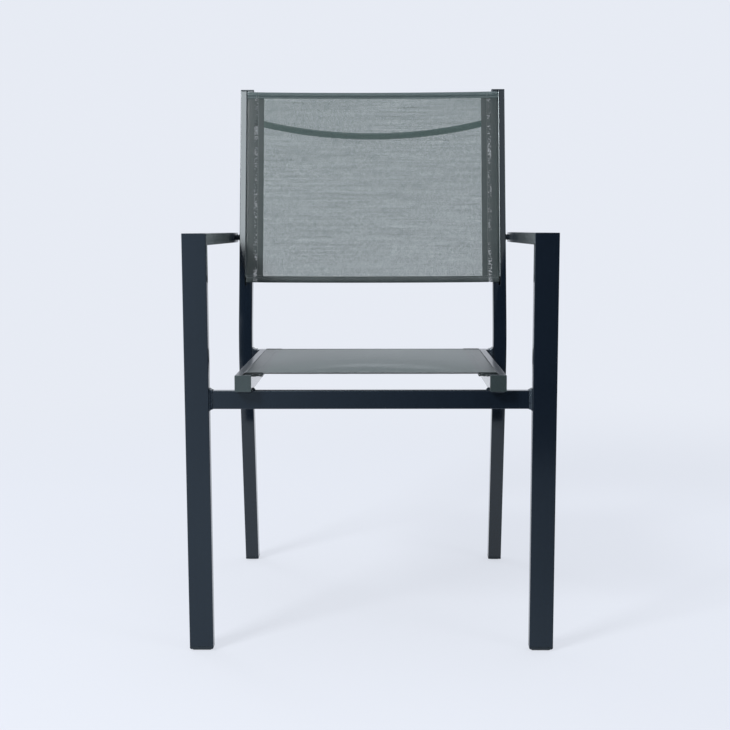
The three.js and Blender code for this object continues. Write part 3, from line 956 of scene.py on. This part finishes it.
def seam_paths(plan, name):
    """The lines that the stitches follow, just outside the face: two seams and two hems."""
    outer = plan.FRONT - 0.45 * MM
    run = plan.length - 2 * MM
    lines = []
    for x in (-plan.seam, plan.seam):
        lines.append([(x, 1 * MM + run * i / SIDE_SEAM_STEPS) for i in range(SIDE_SEAM_STEPS + 1)])
    shares = [2 * i / HEM_SEAM_STEPS - 1 for i in range(HEM_SEAM_STEPS + 1)]
    for z in (plan.hem_seam, plan.length - plan.hem_seam):
        lines.append([(plan.hem_reach * share, z) for share in shares])
    mesh = bpy.data.meshes.new(name)
    points = []
    edges = []
    for line in lines:
        first = len(points)
        points += [plan.point(x, outer, z) for x, z in line]
        edges += [(first + i, first + i + 1) for i in range(len(line) - 1)]
    mesh.from_pydata(points, edges, [])
    return mesh


def stitch_tree():
    """Lays short threads end to end along a path's edges."""
    tree = bpy.data.node_groups.new("Stitch Row", "GeometryNodeTree")
    tree.is_modifier = True
    sockets = tree.interface
    for label, kind in (
        ("Path", "NodeSocketGeometry"), ("Stitch Length", FLOAT), ("Stitch Gap", FLOAT),
        ("Thread Width", FLOAT), ("Seed", "NodeSocketInt"), ("Material", "NodeSocketMaterial"),
    ):
        sockets.new_socket(label, in_out="INPUT", socket_type=kind)
    sockets.new_socket("Stitches", in_out="OUTPUT", socket_type="NodeSocketGeometry")
    graph = Graph(tree)
    given = graph.node("NodeGroupInput").outputs
    path = graph.out("GeometryNodeMeshToCurve", {"Mesh": given["Path"]})
    spacing = graph.math("ADD", given["Stitch Length"], given["Stitch Gap"])
    spaced = graph.out("GeometryNodeResampleCurve", {"Curve": path, "Length": spacing}, mode="LENGTH")
    thread = graph.out("GeometryNodeMeshUVSphere", {"Segments": 6, "Rings": 4, "Radius": 0.5})
    along = graph.out("GeometryNodeInputTangent")
    turn = graph.out("FunctionNodeAlignRotationToVector", {"Vector": along}, axis="X")
    chance = {0: STITCH_LEAST, 1: STITCH_MOST, "Seed": given["Seed"]}
    vary = graph.out("FunctionNodeRandomValue", chance, data_type="FLOAT_VECTOR")
    size = graph.combine(given["Stitch Length"], given["Thread Width"], given["Thread Width"])
    laid = graph.out("GeometryNodeInstanceOnPoints", {
        "Points": spaced, "Instance": thread, "Rotation": turn,
        "Scale": graph.vector("MULTIPLY", size, vary),
    })
    real = graph.out("GeometryNodeRealizeInstances", {0: laid})
    smooth = graph.out("GeometryNodeSetShadeSmooth", {0: real})
    paint = {"Geometry": smooth, "Material": given["Material"]}
    graph.node("NodeGroupOutput", {0: graph.out("GeometryNodeSetMaterial", paint)})
    return tree


def stitched(plan, name, seed, paint):
    """The stitches of one sling as a plain mesh."""
    settings = bpy.context.scene.chair_sling
    tree = bpy.data.node_groups.get("Stitch Row") or stitch_tree()
    obj = placed(name + "_work", seam_paths(plan, name + "_path"))
    row = obj.modifiers.new("Stitches", "NODES")
    row.node_group = tree
    values = {
        "Stitch Length": settings.stitch_length, "Stitch Gap": settings.stitch_gap,
        "Thread Width": settings.thread_width, "Seed": seed, "Material": paint,
    }
    for socket in tree.interface.items_tree:
        if socket.in_out == "INPUT" and socket.name in values:
            row[socket.identifier] = values[socket.name]
    return applied(obj, name)


def fold_path(start, finish, sign):
    """x and y of cloth that goes to and fro in three bunched layers."""
    path = []
    last = FOLD_POINTS - 1
    for layer in range(3):
        back = layer % 2
        depth = (0.5 + 1.35 * layer) * MM
        for i in range(FOLD_POINTS):
            share = 1 - i / last if back else i / last
            swell = noise.noise(Vector((share * 5.5, layer * 3.1, 4.0 * sign)))
            ripple = noise.noise(Vector((share * 15, layer * 2.3 + 9, 7.0 * sign)))
            x = start + (finish - start) * share
            path.append((x, depth + (1.1 * swell + 0.8 * ripple) * MM))
        if layer < 2:
            turn = start + 0.8 * MM if back else finish - 0.8 * MM
            path.append((turn, depth + 0.67 * MM))
    return path


def corner_folds(plan, name):
    """The cloth's bunched layers under the front corners of the seat."""
    meshes = []
    for side, sign in SIDES:
        path = fold_path(plan.groove - 1 * MM, plan.band_edge + 0.8 * MM, sign)
        rows = []
        charts = []
        for level in FOLD_LEVELS:
            sway = 0.4 * MM * noise.noise(Vector((level * 300, 2.0, sign)))
            rows.append([plan.placed(sign * x, plan.bow(x, level) + y + sway, level) for x, y in path])
            charts.append([(x, level + 0.2 * i * MM) for i, (x, y) in enumerate(path)])
        meshes.append(grid_mesh(f"{name}_{side}", rows, charts))
    return joined(name, meshes)


def build_sling(label, plan, seed):
    """Face, bands, hems and stitches of one sling."""
    thickness = bpy.context.scene.chair_sling.cloth_thickness
    paints = finishes()

    def cloth(part, make, paint, replaced=()):
        name = f"{label}_{part}"
        sheet = thickened(make(plan, name), thickness, name)
        return new_piece(name, sheet, paints[paint], replaced)

    face = cloth("face", face_sheet, label, (label + "_sling",))
    layers = [
        cloth("side_bands", band_sheets, label + "_fold"),
        cloth("hems", hem_sheets, label + "_fold"),
    ]
    if label == "seat":
        layers.append(cloth("corner_folds", corner_folds, "seat_fold"))
    name = label + "_stitches"
    thread = paints[label + "_thread"]
    layers.append(new_piece(name, stitched(plan, name, seed, thread), thread))


# Studio

# Name, place, aim, size, power, and whether it also lights dull surfaces
LAMPS = (
    ("front_panel", (-0.50, -2.40, 2.23), (-0.2, 0.15, 0.7), (0.70, 0.83), 14.6, False),
    ("left_softbox", (-1.60, -1.90, 2.30), (0.0, 0.0, 0.6), (0.7, 0.7), 84, True),
    ("right_panel", (0.80, -2.40, 2.12), (0.2, 0.15, 0.7), (0.8, 0.85), 1.8, False),
    ("right_softbox", (1.90, -1.60, 2.00), (0.0, 0.0, 0.6), (0.7, 0.7), 14, True),
    ("ceiling_panel", (0.2, 0.6, 2.9), (0.0, 0.2, 0.0), (2.2, 2.2), 12, True),
    ("rear_softbox", (-1.9, 1.9, 1.7), (0, 0, 0.3), (0.9, 0.9), 16, True),
)

# The floor's sides, how much of the chair's shadow it keeps, and from where to where it fades
FLOOR_SIDES = (-5.0, -1.7, 5.0, 7.0)
SHADOW_SHARE = 0.24
SHADOW_FADES = (0.9, 2.2)

# Share of the light that the shadowed floor gives back, and the floor's colour for dull light
FLOOR_GAIN = 0.70
FLOOR_BOUNCE = (0.48, 0.495, 0.52)

# Painted shade: how much dimmer the floor's glow is, in mirrors only, in front of the chair at the right
FLOOR_MIRROR_SHADE = 0.65

# Light of the unseen room: low at the left, above, everywhere, and what dull surfaces lose
ROOM_LEFT = 1.7
ROOM_ABOVE = 1.2
ROOM_DIM = 0.02
DULL_LOSS = 0.85

CAMERA_SIDESTEP = 0.019
CAMERA_PITCH = math.radians(8.5954)
CAMERA_YAW = math.radians(0.7125)
CAMERA_ROLL = math.radians(-0.1594)


def emptied(owner):
    """The graph of a material or a world, cleared of its nodes."""
    owner.use_nodes = True
    owner.node_tree.nodes.clear()
    return Graph(owner.node_tree)


def seen_share(graph):
    """1 for the rays that look at the backdrop, straight or in a mirror or glass."""
    rays = graph.node("ShaderNodeLightPath").outputs
    seen = graph.math("MAXIMUM", rays["Is Camera Ray"], rays["Is Glossy Ray"])
    return graph.math("MAXIMUM", seen, rays["Is Transmission Ray"])


def floor_material(colour):
    """A pale floor that keeps the chair's shadow and fades into the backdrop."""
    material = bpy.data.materials.new("studio_floor")
    graph = emptied(material)
    place = graph.place()
    near = graph.span(graph.vector("LENGTH", place), *SHADOW_FADES, 1.0, 0.0)
    kept = graph.times(near, SHADOW_SHARE)
    lit = graph.out("ShaderNodeBsdfDiffuse", {"Color": [c * FLOOR_GAIN for c in colour]})
    sides = graph.split(place)
    right = graph.span(sides["X"], 0.0, 0.45)
    # Painted shade in mirrors: the floor's glow, seen only in reflections, is dimmer in front of the chair
    # at the right
    mirror_shaded = graph.times(right, graph.span(sides["Y"], 0.1, -0.8))
    unseen = graph.math("SUBTRACT", 1.0, graph.node("ShaderNodeLightPath").outputs["Is Camera Ray"])
    level = graph.fit(graph.times(mirror_shaded, unseen), -FLOOR_MIRROR_SHADE, 1.0)
    glow = graph.out("ShaderNodeEmission", {"Color": colour, "Strength": level})
    shown = graph.out("ShaderNodeMixShader", {0: kept, 1: glow, 2: lit})
    bounce = graph.out("ShaderNodeBsdfDiffuse", {"Color": FLOOR_BOUNCE})
    surface = graph.out("ShaderNodeMixShader", {0: seen_share(graph), 1: bounce, 2: shown})
    graph.node("ShaderNodeOutputMaterial", {"Surface": surface})
    return material


def lay_floor(settings):
    """A wide floor under the chair."""
    left, front, right, rear = FLOOR_SIDES
    corners = [(left, front, 0), (right, front, 0), (right, rear, 0), (left, rear, 0)]
    mesh = bpy.data.meshes.new("studio_floor")
    mesh.from_pydata(corners, [], [(0, 1, 2, 3)])
    floor = placed("studio_floor", mesh)
    mesh.materials.append(floor_material(settings.backdrop_colour[:]))


def light_world(settings):
    """The backdrop's colour where it is looked at, and dimmer fill elsewhere."""
    world = bpy.data.worlds.new("studio")
    bpy.context.scene.world = world
    graph = emptied(world)
    direction = graph.split(graph.node("ShaderNodeTexCoord").outputs["Generated"])
    behind_chair = graph.span(direction["Y"], -0.10, 0.30)
    low = graph.times(graph.span(direction["Z"], 0.55, 0.25), ROOM_LEFT)
    left = graph.times(graph.span(direction["X"], 0.12, -0.35), low)
    above = graph.times(graph.span(direction["Z"], 0.45, 0.85), ROOM_ABOVE)
    rays = graph.node("ShaderNodeLightPath").outputs
    share = graph.fit(rays["Is Diffuse Ray"], -DULL_LOSS, 1.0)
    around = graph.math("ADD", graph.times(left, share), above)
    room = graph.math("MAXIMUM", behind_chair, graph.math("ADD", around, ROOM_DIM))
    level = graph.out("ShaderNodeMix", {0: rays["Is Camera Ray"], 2: room, 3: 1.0}, data_type="FLOAT")
    glow = graph.out("ShaderNodeBackground", {"Color": settings.backdrop_colour[:], "Strength": level})
    graph.node("ShaderNodeOutputWorld", {"Surface": glow})


def hang_lamp(name, place, aim, size, power, lights_all):
    """A soft rectangular lamp that looks at a point of the chair."""
    light = bpy.data.lights.new(name, "AREA")
    light.shape = "RECTANGLE"
    light.size, light.size_y = size
    light.energy = power
    lamp = placed(name, light)
    lamp.location = place
    lamp.rotation_mode = "QUATERNION"
    lamp.rotation_quaternion = (Vector(aim) - Vector(place)).to_track_quat("-Z", "Y")
    lamp.visible_camera = False
    lamp.visible_diffuse = lights_all


def stand_camera(settings):
    """The camera of the photograph's view."""
    sight = bpy.data.cameras.new("camera")
    sight.lens = settings.lens
    sight.sensor_width = 36
    camera = placed("camera", sight)
    turn = (
        Matrix.Rotation(CAMERA_YAW, 4, "Z")
        @ Matrix.Rotation(math.pi / 2 - CAMERA_PITCH, 4, "X")
        @ Matrix.Rotation(CAMERA_ROLL, 4, "Z")
    )
    place = Vector((CAMERA_SIDESTEP, LEG_FACE - settings.camera_distance, settings.camera_height))
    camera.matrix_world = Matrix.Translation(place) @ turn
    bpy.context.scene.camera = camera


# Operators

# Tubes at both sides and welds, each with its finish
SIDE_TUBES = (("front_leg", "coat"), ("armrest", "coat"), ("back_post", "post"), ("seat_rail", "rail"))
CROSS_TUBES = ("front_crossbar", "rear_crossbar", "bowed_back_bar")
WELDS = (
    ("arm_weld", "coat"), ("rail_front_bead", "bead"), ("rail_inner_bead", "bead"),
    ("front_bar_weld", "coat"), ("rear_bar_weld", "coat"), ("bow_bar_weld", "coat"),
)

# Mouldings, each with its finish, and the material slots of those that aren't caps
CAPS = (
    ("arm_end_cap", "cap"), ("post_top_cap", "crown"), ("rail_front_cap", "cap"),
    ("foot_cap_front", "foot"), ("foot_cap_rear", "foot"),
    ("foot_glide_front", "glide"), ("foot_glide_rear", "glide"),
    ("back_keder", "rod"), ("seat_keder", "rod"),
)


class CHAIR_OT_frame_tubes(bpy.types.Operator):
    """Coats the tubes and rounds their cut edges"""

    bl_idname = "chair.frame_tubes"
    bl_label = "Frame Tubes"

    def execute(self, context):
        settings = context.scene.chair_frame
        paints = finishes()
        tubes = [(node, paint) for kind, paint in SIDE_TUBES for node in both(kind)]
        tubes += [(node, "coat") for node in CROSS_TUBES]
        for node, paint in tubes:
            mesh = rounded_copy(node, settings.edge_round)
            new_piece(node + "_tube", mesh, paints[paint], (node,))
        for side, sign in SIDES:
            new_piece(f"post_lip_{side}", lip_mesh(sign), paints["lip"])
        return {"FINISHED"}


class CHAIR_OT_welds(bpy.types.Operator):
    """Lays the weld beads where the tubes meet"""

    bl_idname = "chair.welds"
    bl_label = "Welds"

    def execute(self, context):
        paints = finishes()
        for number, (kind, paint) in enumerate(WELDS):
            for side, sign in SIDES:
                node = f"{kind}_{side}"
                mesh = laid_bead(node, 10 * number + len(side))
                new_piece(node + "_bead", mesh, paints[paint], (node,))
        return {"FINISHED"}


class CHAIR_OT_caps(bpy.types.Operator):
    """Fits the moulded caps, the feet, the glides and the sling rods"""

    bl_idname = "chair.caps"
    bl_label = "Caps and Feet"

    def execute(self, context):
        settings = context.scene.chair_frame
        paints = finishes()
        for kind, paint in CAPS:
            for node in both(kind):
                mesh = rounded_copy(node, settings.cap_round)
                new_piece(node + "_fitting", mesh, paints[paint], (node,))
        return {"FINISHED"}


class CHAIR_OT_back_sling(bpy.types.Operator):
    """Stretches the back sling between the posts"""

    bl_idname = "chair.back_sling"
    bl_label = "Back Sling"

    def execute(self, context):
        build_sling("back", back_plan(), seed=11)
        return {"FINISHED"}


class CHAIR_OT_seat_sling(bpy.types.Operator):
    """Stretches the seat sling between the rails"""

    bl_idname = "chair.seat_sling"
    bl_label = "Seat Sling"

    def execute(self, context):
        build_sling("seat", seat_plan(), seed=23)
        return {"FINISHED"}


class CHAIR_OT_studio(bpy.types.Operator):
    """Sets up the pale floor, the soft lamps and the camera"""

    bl_idname = "chair.studio"
    bl_label = "Studio"

    def execute(self, context):
        settings = context.scene.chair_studio
        lay_floor(settings)
        light_world(settings)
        for lamp in LAMPS:
            hang_lamp(*lamp)
        stand_camera(settings)
        context.scene.view_settings.view_transform = "Standard"
        return {"FINISHED"}


# Add-on


class CHAIR_PT_panel(bpy.types.Panel):
    """Lists the chair's settings and the steps that dress it"""

    bl_idname = "CHAIR_PT_panel"
    bl_label = "Sling Armchair"
    bl_space_type = "VIEW_3D"
    bl_region_type = "UI"
    bl_category = "Armchair"

    def draw(self, context):
        for step in STEPS:
            self.layout.operator(step.bl_idname)
        for name, group in GROUPS.items():
            box = self.layout.box()
            for key in group.__annotations__:
                box.prop(getattr(context.scene, name), key)


STEPS = (
    CHAIR_OT_studio,
    CHAIR_OT_frame_tubes,
    CHAIR_OT_welds,
    CHAIR_OT_caps,
    CHAIR_OT_back_sling,
    CHAIR_OT_seat_sling,
)


def register():
    for made in (*GROUPS.values(), *STEPS, CHAIR_PT_panel):
        bpy.utils.register_class(made)
    for name, group in GROUPS.items():
        setattr(bpy.types.Scene, name, bpy.props.PointerProperty(type=group))


def unregister():
    for name in GROUPS:
        delattr(bpy.types.Scene, name)
    for made in reversed((*GROUPS.values(), *STEPS, CHAIR_PT_panel)):
        bpy.utils.unregister_class(made)


def main():
    register()
    for step in STEPS:
        group, name = step.bl_idname.split(".")
        getattr(getattr(bpy.ops, group), name)()


if __name__ == "__main__":
    main()
